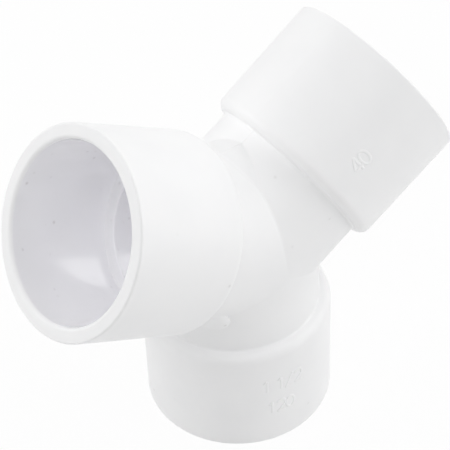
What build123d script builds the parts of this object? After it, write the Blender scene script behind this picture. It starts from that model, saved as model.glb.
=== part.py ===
# Pool wye fitting for 1 1/2 inch slip pipe: one piece of moulded PVC, three equal socket hubs at 120 degrees.
# Sizes are in millimetres. The wye stands on its lower hub: the origin is the centre of that hub's rim,
# +Z runs up through the lower leg, and the two arms spread along X in the plane Y = 0.

import math
import os

from build123d import *

# Driving dimensions: the socket and the pipe that it takes
pipe_diameter = 48.26
pipe_wall = 3.68
socket_clearance = 0.07
socket_depth = 33.3
socket_lead_in = 0.3

# Driving dimensions: the hub round each socket
hub_wall = 4.3
hub_draft = 0.6
heel_thickness = 3.9
rim_chamfer = 0.4
shoulder_radius = 2.8
shoulder_flats = 3

# Driving dimensions: the necks, whose waterway is as wide as the bore of the pipe
neck_wall = 4.05
centre_to_stop = 27.5
stop_lip_chamfer = 0.4
ledge_chamfer = 0.5
leg_count = 3

# Driving dimensions: the moulded web that fills the bottom of each crotch
web_rise = 2.5
web_edge_radius = 16.1
crease_fillet = 0.4

# Sizes that follow
socket_radius = pipe_diameter / 2 + socket_clearance
hub_radius = socket_radius + hub_wall
draft_angle = math.radians(hub_draft)
waterway_radius = pipe_diameter / 2 - pipe_wall
neck_radius = waterway_radius + neck_wall
centre_to_end = centre_to_stop + socket_depth
centre_to_ledge = centre_to_stop - heel_thickness
shoulder_centre_x = centre_to_ledge + shoulder_radius
shoulder_surface = hub_radius - (centre_to_end - shoulder_centre_x) * math.tan(draft_angle)
shoulder_centre_y = shoulder_surface - shoulder_radius / math.cos(draft_angle)
web_radius = neck_radius / math.sin(math.pi / leg_count) + web_rise
web_edge_centre = web_radius - web_edge_radius


def shoulder_corners():
    """Corners of the rounded shoulder, from the ledge to the drafted hub: flats of equal turn along its arc."""
    turn = math.pi / 2 - draft_angle
    angles = [math.pi - turn * step / shoulder_flats for step in range(shoulder_flats + 1)]
    return [
        (
            shoulder_centre_x + shoulder_radius * math.cos(angle),
            shoulder_centre_y + shoulder_radius * math.sin(angle),
        )
        for angle in angles
    ]


# Outside of one leg, lying along X from the junction: a plain neck, the ledge, the rounded shoulder and the hub
with BuildPart() as leg:
    with BuildSketch(Plane.XY):
        with BuildLine():
            Polyline(
                (0, 0),
                (0, neck_radius),
                (centre_to_ledge, neck_radius),
                *shoulder_corners(),
                (centre_to_end, hub_radius),
                (centre_to_end, 0),
                close=True,
            )
        make_face()
        chamfer(vertices().group_by(Axis.X)[-1].sort_by(Axis.Y)[-1], rim_chamfer)
        chamfer(vertices().group_by(Axis.X)[1].sort_by(Axis.Y)[0], ledge_chamfer)
    revolve(axis=Axis.X)

# Hollow of one leg: the waterway from the junction, the pipe stop and the socket with its lead-in
with BuildPart() as leg_hollow:
    with BuildSketch(Plane.XY):
        with BuildLine():
            Polyline(
                (0, 0),
                (0, waterway_radius),
                (centre_to_stop, waterway_radius),
                (centre_to_stop, socket_radius),
                (centre_to_end - socket_lead_in, socket_radius),
                (centre_to_end, socket_radius + socket_lead_in),
                (centre_to_end, 0),
                close=True,
            )
        make_face()
        chamfer(vertices().group_by(Axis.X)[1].sort_by(Axis.Y)[0], stop_lip_chamfer)
    revolve(axis=Axis.X)

# Centre of the wye: a thick disc with a half-round edge, which shows only in the three crotches
with BuildPart() as crotch_web:
    with BuildSketch(Plane.XZ):
        with BuildLine():
            edge = ThreePointArc(
                (web_edge_centre, -web_edge_radius), (web_radius, 0), (web_edge_centre, web_edge_radius)
            )
            Polyline(edge @ 1, (0, web_edge_radius), (0, -web_edge_radius), edge @ 0)
        make_face()
    revolve(axis=Axis.Z)

# The three legs' axes meet at the junction: its local X runs down the lower leg, its normal points forward
junction = Plane(origin=(0, 0, centre_to_end), x_dir=(0, 0, -1), z_dir=(0, -1, 0))

# The whole moulding: three legs fused round the web, blended in the creases where they meet, then hollowed through
with BuildPart(junction) as wye_fitting:
    with PolarLocations(0, leg_count):
        add(leg.part)
    add(crotch_web.part)
    creases = edges().filter_by(GeomType.CIRCLE, reverse=True).filter_by(GeomType.LINE, reverse=True)
    fillet(creases, crease_fillet)
    with PolarLocations(0, leg_count):
        add(leg_hollow.part, mode=Mode.SUBTRACT)

os.makedirs("parts", exist_ok=True)
wye_fitting.part.label = "wye_fitting"
export_step(wye_fitting.part, "parts/wye_fitting.step")
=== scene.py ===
import bmesh
import bpy
import numpy as np
from mathutils import Matrix, Vector


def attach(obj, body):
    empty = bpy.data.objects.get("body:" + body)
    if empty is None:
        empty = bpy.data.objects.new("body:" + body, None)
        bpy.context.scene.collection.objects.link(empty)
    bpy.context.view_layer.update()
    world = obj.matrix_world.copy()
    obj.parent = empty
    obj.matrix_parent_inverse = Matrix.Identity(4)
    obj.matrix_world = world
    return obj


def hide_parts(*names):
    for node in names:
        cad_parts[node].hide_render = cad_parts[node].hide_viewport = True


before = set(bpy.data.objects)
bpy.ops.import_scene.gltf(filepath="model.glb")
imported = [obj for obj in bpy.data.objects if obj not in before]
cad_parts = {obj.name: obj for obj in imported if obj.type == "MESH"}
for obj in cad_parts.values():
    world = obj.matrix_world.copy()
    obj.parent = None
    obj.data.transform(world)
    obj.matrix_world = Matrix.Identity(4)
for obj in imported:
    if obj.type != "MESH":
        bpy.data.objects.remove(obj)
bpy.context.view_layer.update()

# The moulding: one piece of rigid white PVC. Each of its three equal legs is a plain neck that steps out at
# a ledge to a slightly drafted hub, whose socket ends at a pipe stop. It was shot in a two-part mould closed
# in the plane of the legs, round three core pins that met in the middle.
mm = 0.001
skin_tones = (0.94, 0.94, 0.943), (0.92, 0.921, 0.926)
skin_polish = 0.42, 0.52
# The inside, from the mouths inwards, is painted a lighter and bluer white than the outside: painted light
# that stands in for the light filling the sockets.
core_tones_painted_lighter = (0.963, 0.96, 0.976), (0.948, 0.945, 0.963)
core_polish = 0.08, 0.12
skin_specks = 0.012
core_specks = 0.14
speck_brown = (0.22, 0.19, 0.17)
speck_cells = 400
speck_reach = 0.27
speck_darkest = 0.32
colour_clouds, colour_edges = 55, (0.35, 0.65)
polish_clouds, polish_edges = 140, (0.3, 0.7)
grain, grain_depth, grain_strength = 2600, 0.02 * mm, 0.10
waves, wave_depth, wave_strength = 90, 0.15 * mm, 0.35
pvc_refraction = 1.53

leg_angles = {"lower": -90, "right": 30, "left": 150}
leg_gap = 2 * np.pi / 3

neck_radius = 24.5 * mm
ledge_along = 23.6 * mm
shoulder_edge = 28.11 * mm
rim_along = 60.8 * mm
rim_edge = 28.5 * mm
socket_radius = 24.2 * mm
stop_along = 27.5 * mm
waterway_radius = 20.45 * mm
centre_height = rim_along

ledge_fillet = 0.75 * mm
shoulder_fillet = 2.8 * mm
rim_fillet = 0.6 * mm
mouth_fillet = 1.15 * mm
stop_corner_fillet = 0.5 * mm
stop_lip_fillet = 0.5 * mm

web_crown = 30.8 * mm
web_edge_radius = 18.0 * mm
web_draft = 0.13
web_blend = 0.30 * mm
core_blend = 0.25 * mm
blend_fade = 3.0 * mm
crease_reach = 4.6 * mm
neck_stretch = 2.0 * mm
waterway_stretch = 3.0 * mm

hub_ridge = 0.02 * mm
neck_ridge = 0.10 * mm
ridge_half_width = 0.2 * mm

turn_step = 2.0
seam_turns = 0.12, 0.25, 0.38, 0.55, 0.8, 1.25
close_steps, growing_steps, step_growth = 30, 8, 1.3
least_across = 1e-6 * mm
merge_within = 1e-4 * mm
same_place = 1e-3 * mm


def rounded(corners, radii, steps=9, guard=0.12 * mm):
    """A chain of straight runs whose corners are rounded.

    Each corner is swapped for an arc tangent to both of its runs: the arc's centre lies on the corner's
    bisector, radius / sin(half the angle) from the corner, and its points divide the turn evenly. A guard
    point stands just before and just after each arc, so that the shading turns within the arc and the
    runs stay flat.
    """
    corners, radii = np.asarray(corners, float), np.asarray(radii, float)
    runs = np.diff(corners, axis=0)
    lengths = np.linalg.norm(runs, axis=1)
    on = runs / lengths[:, None]
    half_angles = np.arccos(np.clip(np.sum(-on[:-1] * on[1:], axis=1), -1, 1)) / 2
    tangents = np.concatenate(([0], radii / np.tan(half_angles), [0]))
    guards = np.minimum((lengths - tangents[:-1] - tangents[1:]) / 3, guard)
    chain = [corners[:1]]
    for i, (corner, radius, half_angle) in enumerate(zip(corners[1:], radii, half_angles)):
        toward_middle = (on[i + 1] - on[i]) / np.linalg.norm(on[i + 1] - on[i])
        middle = corner + toward_middle * radius / np.sin(half_angle)
        start = corner - on[i] * tangents[i + 1] - middle
        end = corner + on[i + 1] * tangents[i + 1] - middle
        turn = np.arctan2(start[0] * end[1] - start[1] * end[0], start @ end)
        angles = np.arctan2(start[1], start[0]) + np.linspace(0, turn, steps)
        arc = middle + radius * np.column_stack((np.cos(angles), np.sin(angles)))
        chain += [arc[:1] - on[i] * guards[i], arc, arc[-1:] + on[i + 1] * guards[i + 1]]
    return np.concatenate(chain + [corners[-1:]])


def soft_max(a, b, reach):
    """The larger of a and b, with the kink between them rounded.

    Where the two are closer than reach, the square of what is left of reach is added, divided by four
    times reach.
    """
    near = np.maximum(reach - np.abs(a - b), 0)
    return np.maximum(a, b) + near**2 / (4 * reach)


def ridge(height):
    """The share of the mould seam's full rise: a bell curve of the height above the parting plane."""
    return np.exp(-((height / ridge_half_width) ** 2))


def around_leg():
    """Angles round a leg from the parting plane: even steps, with close ones across each parting line."""
    quarter = np.concatenate((seam_turns, np.arange(turn_step, 90, turn_step)))
    half = np.concatenate(([0], quarter, [90], 180 - quarter[::-1]))
    return np.radians(np.concatenate((half, half + 180)))


def crease_steps():
    """Steps along a leg from a crease: even and close from 0 to 1, then growing apart from 1 to 2."""
    close = np.linspace(0, 1, close_steps)
    growing = 1 + np.linspace(0, 1, growing_steps + 1)[1:] ** step_growth
    return np.concatenate((close, growing))


def junction_rows(turn, radius, end, crown, blend):
    """A leg's wall from the creases, where it meets the next leg, out to a given place along the leg.

    Every row keeps one height above the parting plane. At that height each leg is a strip whose edge runs
    parallel to its axis, and the web is a circle about the middle. A point lies in the direction of the
    strip's edge, as far from the middle as the farthest of three: this leg's edge, the next leg's edge
    and the web. The crease lies half the gap between two legs off the leg's own line. The web and the
    parting line are left out where crown is false, as in the waterway.
    """
    height = radius * np.sin(turn)[:, None]
    seam = neck_ridge * ridge(height) if crown else 0
    side = (radius + seam) * np.cos(turn)[:, None]
    across = np.maximum(np.abs(side), least_across)
    crease = across / np.tan(leg_gap / 2)
    reach = np.minimum(crease_reach, (end - crease) / 2)
    steps = crease_steps()[None, :]
    along = np.where(
        steps <= 1, crease + steps * reach, crease + reach + (steps - 1) * (end - crease - reach)
    )
    own = np.hypot(along, across)
    other = across * own / (np.sin(leg_gap) * along - np.cos(leg_gap) * across)
    blend = blend * np.minimum(across / blend_fade, 1)
    out = soft_max(own, other, blend)
    if crown:
        out = soft_max(out, web_reach(height) + seam, blend)
    scale = out / own
    return np.stack((along * scale, side * scale, np.broadcast_to(height, along.shape)), axis=-1)


def web_reach(height):
    """How far the web reaches from the middle at a height: the rounded edge of a thick disc, with draft.

    The edge's radius, times the square root of one less the height's share squared, stands out from the
    edge's centre. The draft takes a share of the height off it, so that the mould's halves slide off.
    """
    inside = 1 - (height / web_edge_radius) ** 2
    centre = web_crown - web_edge_radius
    edge = centre + web_edge_radius * np.sqrt(np.maximum(inside, 0)) - web_draft * np.abs(height)
    return np.where(inside > 0, edge, 0)


def leg_grid():
    """One leg in its own frame: along the leg, across it in the plane of the legs, and up from that plane.

    The rows go round the leg. Along a row the points run from the crease over the neck, the ledge, the
    shoulder, the hub, the rim, the socket, the stop and the waterway, back to the middle. The parting
    line stands proud of the outside only, and it ends where the rim's rounding starts.
    """
    turn = around_leg()
    neck_end = ledge_along - neck_stretch
    waterway_end = stop_along - waterway_stretch
    walls = rounded(
        [
            (neck_end, neck_radius),
            (ledge_along, neck_radius),
            (ledge_along, shoulder_edge),
            (rim_along, rim_edge),
            (rim_along, socket_radius),
            (stop_along, socket_radius),
            (stop_along, waterway_radius),
            (waterway_end, waterway_radius),
        ],
        [ledge_fillet, shoulder_fillet, rim_fillet, mouth_fillet, stop_corner_fillet, stop_lip_fillet],
    )
    before_rim = np.arange(len(walls)) < np.argmax(walls[:, 0] >= rim_along - rim_fillet)
    rise = np.where(walls[:, 1] < neck_radius + ledge_fillet / 2, neck_ridge, hub_ridge) * before_rim
    out = walls[:, 1][None, :] + rise * ridge(neck_radius * np.sin(turn))[:, None]
    along = np.broadcast_to(walls[:, 0], out.shape)
    wall_rows = np.stack((along, out * np.cos(turn)[:, None], out * np.sin(turn)[:, None]), axis=-1)
    neck_rows = junction_rows(turn, neck_radius, neck_end, True, web_blend)
    core_rows = junction_rows(turn, waterway_radius, waterway_end, False, core_blend)
    return np.concatenate((neck_rows[:, :-1], wall_rows, core_rows[:, -2::-1]), axis=1)


def leg_place(angle):
    """Turns a leg's own frame into the fitting's: along the leg, across it, and out of the front."""
    a = np.radians(angle)
    return np.array([[np.cos(a), 0, np.sin(a)], [-np.sin(a), 0, np.cos(a)], [0, -1, 0]])


def add_mesh(name, points, quads, finishes=None):
    """A mesh object from arrays of points and faces, with points that coincide merged and smooth shading.

    Finishes, where given, is each face's place in the list of the piece's materials.
    """
    mesh = bpy.data.meshes.new(name)
    mesh.from_pydata(points.tolist(), [], quads.tolist())
    if finishes is not None:
        mesh.polygons.foreach_set("material_index", finishes)
    shape = bmesh.new()
    shape.from_mesh(mesh)
    bmesh.ops.remove_doubles(shape, verts=shape.verts, dist=merge_within)
    bmesh.ops.dissolve_degenerate(shape, edges=shape.edges, dist=merge_within / 10)
    bmesh.ops.recalc_face_normals(shape, faces=shape.faces)
    shape.to_mesh(mesh)
    shape.free()
    mesh.polygons.foreach_set("use_smooth", np.ones(len(mesh.polygons), bool))
    piece = bpy.data.objects.new(name, mesh)
    bpy.context.scene.collection.objects.link(piece)
    return piece


def grid_faces(rows, columns, first=0):
    """Quads of a grid that closes on itself from the last row to the first."""
    row, column = np.meshgrid(np.arange(rows), np.arange(columns - 1), indexing="ij")
    here = first + row * columns + column
    up = first + (row + 1) % rows * columns + column
    return np.stack((here, here + 1, up + 1, up), axis=-1).reshape(-1, 4)


leg = leg_grid()
leg_rows, leg_columns = leg.shape[:2]
legs = [leg.reshape(-1, 3) @ leg_place(angle) for angle in leg_angles.values()]
moulding_points = np.concatenate(legs) + (0, 0, centre_height)
moulding_faces = np.concatenate(
    [grid_faces(leg_rows, leg_columns, first * leg_rows * leg_columns) for first in range(len(legs))]
)
# Faces from the mouths inwards take the core material. Its low roughness is the core pins' own polish, and
# its lighter, bluer colour is painted light inside the sockets.
inside_mouth = np.flatnonzero(leg[0, :, 1] > socket_radius + same_place)[-1]
core_pin_polish_and_painted_light = np.tile(np.arange(leg_columns - 1) >= inside_mouth, len(legs) * leg_rows)
moulding = add_mesh("moulding", moulding_points, moulding_faces, core_pin_polish_and_painted_light.astype(np.int32))


def moulded_pvc(name, tones, polish, specks):
    """Rigid white PVC as it leaves the mould: near-white, faintly clouded, softly glossy, with burnt specks.

    Polish is the roughness that the mould's own surface leaves, from its smoothest to its roughest
    places. Specks is the share of the speck cells that hold one, from barely seen to dark. A speck fades
    out with the distance from its cell's middle. The relief is a fine grain laid over slow waves.
    """
    material = bpy.data.materials.new(name)
    material.use_nodes = True
    nodes, links = material.node_tree.nodes, material.node_tree.links
    shader = nodes["Principled BSDF"]
    place = nodes.new("ShaderNodeTexCoord").outputs["Object"]

    def noise(scale, detail):
        """Cloudy values about 0.5 at a scale in clouds per metre."""
        made = nodes.new("ShaderNodeTexNoise")
        made.inputs["Scale"].default_value = scale
        made.inputs["Detail"].default_value = detail
        links.new(place, made.inputs["Vector"])
        return made.outputs["Fac"]

    def spread(value, low, high, to_low, to_high):
        """Maps a value from one range to another, with its ends held."""
        made = nodes.new("ShaderNodeMapRange")
        for socket, number in zip(made.inputs[1:5], (low, high, to_low, to_high)):
            socket.default_value = number
        links.new(value, made.inputs[0])
        return made.outputs[0]

    def mixed(factor, first, second):
        """A colour between two, by a factor."""
        made = nodes.new("ShaderNodeMix")
        made.data_type = "RGBA"
        links.new(factor, made.inputs["Factor"])
        for socket, colour in ((made.inputs[6], first), (made.inputs[7], second)):
            if isinstance(colour, tuple):
                socket.default_value = (*colour, 1)
            else:
                links.new(colour, socket)
        return made.outputs[2]

    def product(a, b):
        """Two values multiplied."""
        made = nodes.new("ShaderNodeMath")
        made.operation = "MULTIPLY"
        links.new(a, made.inputs[0])
        links.new(b, made.inputs[1])
        return made.outputs[0]

    def bump(height, strength, depth):
        """A relief of a depth in metres, of which a share shows."""
        made = nodes.new("ShaderNodeBump")
        made.inputs["Strength"].default_value = strength
        made.inputs["Distance"].default_value = depth
        links.new(height, made.inputs["Height"])
        return made

    clouds = spread(noise(colour_clouds, 3), *colour_edges, 0, 1)
    cells = nodes.new("ShaderNodeTexVoronoi")
    cells.inputs["Scale"].default_value = speck_cells
    links.new(place, cells.inputs["Vector"])
    dots = spread(cells.outputs["Distance"], 0, speck_reach, 1, 0)
    chosen = nodes.new("ShaderNodeSeparateColor")
    links.new(cells.outputs["Color"], chosen.inputs[0])
    few = spread(chosen.outputs[0], 1 - specks, 1, 0, speck_darkest)
    body = mixed(clouds, *tones)
    links.new(mixed(product(dots, few), body, speck_brown), shader.inputs["Base Color"])
    links.new(spread(noise(polish_clouds, 4), *polish_edges, *polish), shader.inputs["Roughness"])

    fine = bump(noise(grain, 2), grain_strength, grain_depth)
    slow = bump(noise(waves, 1), wave_strength, wave_depth)
    links.new(fine.outputs["Normal"], slow.inputs["Normal"])
    links.new(slow.outputs["Normal"], shader.inputs["Normal"])
    shader.inputs["IOR"].default_value = pvc_refraction
    return material


skin_pvc = moulded_pvc("moulded_pvc", skin_tones, skin_polish, skin_specks)
moulding.data.materials.append(skin_pvc)
# The core material is the same PVC painted lighter and bluer: painted light inside the sockets and the
# waterway.
moulding.data.materials.append(moulded_pvc("core_polished_pvc_painted_lighter", core_tones_painted_lighter, core_polish, core_specks))
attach(moulding, "root")
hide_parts("wye_fitting")

# The size numbers: raised figures that are cut into the mould, so that they stand a little proud of the
# hubs. On the lower hub the pipe size stands over the angle between the legs, in rows round the hub. The
# row on the right hub is a plain number that reads outward along the leg.
figure_height = 4.9 * mm
figure_pitch = 0.62
space_pitch = 0.28
stroke_width = 0.85 * mm
stroke_rise = 0.14 * mm
stroke_sink = 0.12 * mm
stroke_steps = 21
stroke_sides = 12


def straight(start, end):
    """A straight stroke, its points closer at both ends: even steps of half a turn, seen from the side."""
    share = (1 - np.cos(np.linspace(0, np.pi, stroke_steps))) / 2
    return np.outer(1 - share, start) + np.outer(share, end)


def curved(middle, half_width, half_height, start, end):
    """A stroke along an ellipse, between two angles in degrees measured from its right side."""
    share = (1 - np.cos(np.linspace(0, np.pi, stroke_steps))) / 2
    angle = np.radians(start + (end - start) * share)
    return np.array(middle) + np.column_stack((half_width * np.cos(angle), half_height * np.sin(angle)))


figures = {
    "0": [curved((0.32, 0.5), 0.28, 0.46, 0, 360)],
    "1": [straight((0.34, 0), (0.34, 1)), straight((0.34, 1), (0.12, 0.78))],
    "2": [
        curved((0.31, 0.7), 0.27, 0.3, 170, -38),
        straight((0.52, 0.52), (0.05, 0)),
        straight((0.05, 0), (0.6, 0)),
    ],
    "4": [
        straight((0.46, 0), (0.46, 1)),
        straight((0.46, 1), (0.02, 0.3)),
        straight((0.02, 0.3), (0.64, 0.3)),
    ],
    "/": [straight((0.02, -0.08), (0.52, 1.08))],
}


def raised_stroke(path, closed):
    """A bead along a path: its section is an ellipse, taller above the wall than below, with round ends.

    Over the last half width before an open end, the section shrinks with the square root of one less the
    square of its distance, in half widths, from where that stretch starts. A closed path runs on through
    its seam, so both its end sections are the same. Gives along, up and height for each side and step.
    """
    steps = np.gradient(path, axis=0)
    if closed:
        steps[0] = steps[-1] = path[1] - path[-2]
    on = steps / np.linalg.norm(steps, axis=1)[:, None]
    run = np.concatenate(([0], np.cumsum(np.linalg.norm(np.diff(path, axis=0), axis=1))))
    from_end = np.minimum(run, run[-1] - run) / (stroke_width / 2)
    size = np.ones(len(path)) if closed else np.sqrt(1 - np.maximum(1 - from_end, 0) ** 2)
    side = np.linspace(0, 2 * np.pi, stroke_sides, endpoint=False)[:, None]
    across = size * np.cos(side) * stroke_width / 2
    height = size * np.sin(side) * np.where(np.sin(side) > 0, stroke_rise, stroke_sink)
    return np.stack((path[:, 0] - across * on[:, 1], path[:, 1] + across * on[:, 0], height), axis=-1)


def on_hub(bead, leg, start, turn):
    """Lays a bead on a hub: along it from start, round it from turn in degrees, and out from the wall."""
    along = start + bead[..., 0]
    share = (along - ledge_along) / (rim_along - ledge_along)
    wall = shoulder_edge + (rim_edge - shoulder_edge) * share
    angle = np.radians(turn) - bead[..., 1] / wall
    out = wall + bead[..., 2]
    place = np.stack((along, out * np.cos(angle), out * np.sin(angle)), axis=-1)
    return place @ leg_place(leg_angles[leg])


def number_beads(text, leg, start, turn, heading):
    """The beads of a row of figures, from a place on a hub and at a heading from the leg's own line.

    Figures stand one pitch apart, in shares of their height, and a space takes less. Each path is moved
    to its place in the row, and the row is turned by the heading in degrees: 0 reads outward, and 90
    reads round the hub.
    """
    ahead = np.array([np.cos(np.radians(heading)), np.sin(np.radians(heading))])
    up = np.array([-ahead[1], ahead[0]])
    pen = 0
    beads = []
    for figure in text:
        for path in figures.get(figure, []):
            laid = figure_height * (np.outer(path[:, 0] + pen, ahead) + np.outer(path[:, 1], up))
            beads.append(on_hub(raised_stroke(laid, figure == "0"), leg, start, turn))
        pen += space_pitch if figure == " " else figure_pitch
    return beads


number_rows = [
    ("1 1/2", "lower", 39.5 * mm, 113, 90),
    ("120", "lower", 49.0 * mm, 110, 90),
    ("40", "right", 33.0 * mm, 68, 0),
]
beads = [bead for row in number_rows for bead in number_beads(*row)]
number_points = np.concatenate([bead.reshape(-1, 3) for bead in beads]) + (0, 0, centre_height)
bead_size = stroke_sides * stroke_steps
number_faces = np.concatenate(
    [grid_faces(stroke_sides, stroke_steps, first * bead_size) for first in range(len(beads))]
)
numbers = add_mesh("size_numbers", number_points, number_faces)
numbers.data.materials.append(skin_pvc)
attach(numbers, "root")

# The gate stub: the low blunt pad that is left in the lower left crotch where the sprue was cut off. It
# is part of the same shot of PVC, and it fills the crease between the two necks a little in front of the
# web.
stub_height = 14.9 * mm
stub_length = 5.1 * mm
stub_width = 6.4 * mm
stub_rise = 2.4 * mm
stub_dimple = 0.3 * mm
stub_roundness = 0.6
stub_root = 1.2 * mm
stub_crotch = 210
stub_sides = 48
stub_rings = 13


def gate_pad():
    """A closed pad on an oval base: round it by angle, and from its top's middle over its rim to its root.

    One less the square of the share of the base's radius gives both the top's rise, which is a power of
    it, and the dimple taken off that rise, which is its square. The root is the same rise turned down,
    without the dimple.
    """
    angle = np.linspace(0, 2 * np.pi, stub_sides, endpoint=False)[:, None]
    share = np.sin(np.linspace(0, np.pi / 2, stub_rings))
    dome = np.maximum(1 - share**2, 0) ** stub_roundness
    top = stub_rise * dome - stub_dimple * (1 - share**2) ** 2
    root = -stub_root * dome[::-1]
    share = np.concatenate((share, share[::-1][1:]))
    height = np.concatenate((top, root[1:]))
    out = np.broadcast_to(share, (len(angle), len(share)))
    rise = np.broadcast_to(height, out.shape)
    return np.stack((stub_length * out * np.cos(angle), stub_width * out * np.sin(angle), rise), axis=-1)


def in_crease(pad, bearing, height):
    """Seats a pad on the crease of two necks, at a height above the parting plane and along the crease.

    In its own plane the crease is an ellipse, the neck's circle drawn out by one over the sine of half the
    gap between two legs.
    """
    turn = np.arcsin(height / neck_radius)
    long = neck_radius / np.sin(leg_gap / 2)
    on = np.array([-long * np.sin(turn), neck_radius * np.cos(turn)])
    on = on / np.linalg.norm(on)
    outward = np.array([np.cos(np.radians(bearing)), 0, np.sin(np.radians(bearing))])
    forward = np.array([0, -1, 0])
    seat = long * np.cos(turn) * outward + height * forward
    ahead = on[0] * outward + on[1] * forward
    up = on[1] * outward - on[0] * forward
    return seat + pad @ np.array([ahead, np.cross(up, ahead), up])


stub = gate_pad()
stub_points = in_crease(stub, stub_crotch, stub_height).reshape(-1, 3) + (0, 0, centre_height)
gate_stub = add_mesh("gate_stub", stub_points, grid_faces(*stub.shape[:2]))
gate_stub.data.materials.append(skin_pvc)
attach(gate_stub, "root")

# The floor: a plain pale sheet under the fitting, which stands on its lower hub. What the camera sees of
# it is lifted towards white, as in the photograph, and the fitting's soft shadow stays on it.
floor_half = 3.0
floor_grey = (0.92, 0.92, 0.92, 1)
floor_lift = 0.93
floor_roughness = 0.9


def seen_directly(nodes, links):
    """One for rays from the camera, off gloss or through clear pieces, and nought for other bounces."""
    path = nodes.new("ShaderNodeLightPath")
    share = path.outputs["Is Camera Ray"]
    for ray in ("Is Glossy Ray", "Is Transmission Ray"):
        either = nodes.new("ShaderNodeMath")
        either.operation = "MAXIMUM"
        links.new(share, either.inputs[0])
        links.new(path.outputs[ray], either.inputs[1])
        share = either.outputs[0]
    return share


corners = [(x * floor_half, y * floor_half, 0) for x, y in ((-1, -1), (1, -1), (1, 1), (-1, 1))]
floor_mesh = bpy.data.meshes.new("floor")
floor_mesh.from_pydata(corners, [], [(0, 1, 2, 3)])
floor = bpy.data.objects.new("floor", floor_mesh)
bpy.context.scene.collection.objects.link(floor)
sheet = bpy.data.materials.new("floor_sheet")
sheet.use_nodes = True
nodes, links = sheet.node_tree.nodes, sheet.node_tree.links
nodes["Principled BSDF"].inputs["Base Color"].default_value = floor_grey
nodes["Principled BSDF"].inputs["Roughness"].default_value = floor_roughness
nodes["Principled BSDF"].inputs["Specular IOR Level"].default_value = 0.0
white = nodes.new("ShaderNodeEmission")
lift = nodes.new("ShaderNodeMath")
lift.operation = "MULTIPLY"
lift.inputs[1].default_value = floor_lift
links.new(seen_directly(nodes, links), lift.inputs[0])
blend = nodes.new("ShaderNodeMixShader")
links.new(lift.outputs[0], blend.inputs[0])
links.new(nodes["Principled BSDF"].outputs[0], blend.inputs[1])
links.new(white.outputs[0], blend.inputs[2])
links.new(blend.outputs[0], nodes["Material Output"].inputs["Surface"])
floor.data.materials.append(sheet)

# The light: large round soft lamps all round the fitting, low ones at both sides and high ones over it,
# as in a white tent. Each is given by its bearing from the front, its height angle, its width and its share
# of a full lamp. What the camera and the plastic's gloss see beyond the floor is the tent's plain white.
lamp_distance = 1.3
lamp_full = 14.0
lamps = {
    "front_left_high": (-45, 65, 1.6, 0.34),
    "front_left": (-45, 40, 1.4, 0.20),
    "front_right_low": (45, 15, 0.7, 0.245),
    "front_right": (45, 40, 1.4, 0.08),
    "right": (90, 40, 1.4, 0.43),
    "right_low": (80, 18, 0.5, 0.014),
    "back_right_low": (135, 15, 0.7, 0.03),
    "back_high": (180, 40, 1.4, 0.21),
    "back_left": (-135, 40, 1.4, 0.29),
    "back_left_low": (-135, 15, 0.7, 0.16),
}
tent_level = 0.18
seen_level = 1.0
tent_white = (1, 1, 1, 1)
bounces = 12

world = bpy.data.worlds.new("tent")
bpy.context.scene.world = world
world.use_nodes = True
nodes, links = world.node_tree.nodes, world.node_tree.links
nodes["Background"].inputs["Color"].default_value = tent_white
nodes["Background"].inputs["Strength"].default_value = tent_level
clear = nodes.new("ShaderNodeBackground")
clear.inputs["Color"].default_value = tent_white
clear.inputs["Strength"].default_value = seen_level
blend = nodes.new("ShaderNodeMixShader")
links.new(seen_directly(nodes, links), blend.inputs[0])
links.new(nodes["Background"].outputs[0], blend.inputs[1])
links.new(clear.outputs[0], blend.inputs[2])
links.new(blend.outputs[0], nodes["World Output"].inputs["Surface"])

# Inside the white sockets light goes from wall to wall many times, so more of its bounces are followed
# than usual.
bpy.context.scene.cycles.diffuse_bounces = bounces

for name, (bearing, rise, width, strength) in lamps.items():
    lamp = bpy.data.lights.new(name, "AREA")
    lamp.shape = "DISK"
    lamp.size = width
    lamp.energy = lamp_full * strength
    stand = bpy.data.objects.new(name, lamp)
    bearing, rise = np.radians((bearing, rise))
    away = Vector((np.sin(bearing) * np.cos(rise), -np.cos(bearing) * np.cos(rise), np.sin(rise)))
    stand.location = away * lamp_distance + Vector((0, 0, centre_height))
    stand.rotation_euler = away.to_track_quat("Z", "Y").to_euler()
    bpy.context.scene.collection.objects.link(stand)

# The camera: at the photograph's angle, above and to the left of the front, and rolled very slightly.
view_azimuth, view_elevation, view_roll = np.radians((-35.65, 42.62, -2.51))
view_distance = 408.8 * mm
view_slide, view_rise = -2.38 * mm, 1.93 * mm
view_lens, view_sensor = 114.41, 36
view_near = 10 * mm

back = np.array(
    [
        np.sin(view_azimuth) * np.cos(view_elevation),
        -np.cos(view_azimuth) * np.cos(view_elevation),
        np.sin(view_elevation),
    ]
)
level = np.array([np.cos(view_azimuth), np.sin(view_azimuth), 0])
upright = np.cross(back, level)
across = np.cos(view_roll) * level + np.sin(view_roll) * upright
upward = np.cos(view_roll) * upright - np.sin(view_roll) * level
stand_at = back * view_distance + level * view_slide + upright * view_rise + (0, 0, centre_height)

camera = bpy.data.objects.new("camera", bpy.data.cameras.new("camera"))
camera.data.sensor_width = view_sensor
camera.data.lens = view_lens
camera.data.clip_start = view_near
turned = Matrix(np.column_stack((across, upward, back)).tolist()).to_4x4()
camera.matrix_world = Matrix.Translation(stand_at.tolist()) @ turned
bpy.context.scene.collection.objects.link(camera)
bpy.context.scene.camera = camera
bpy.context.scene.view_settings.view_transform = "Standard"
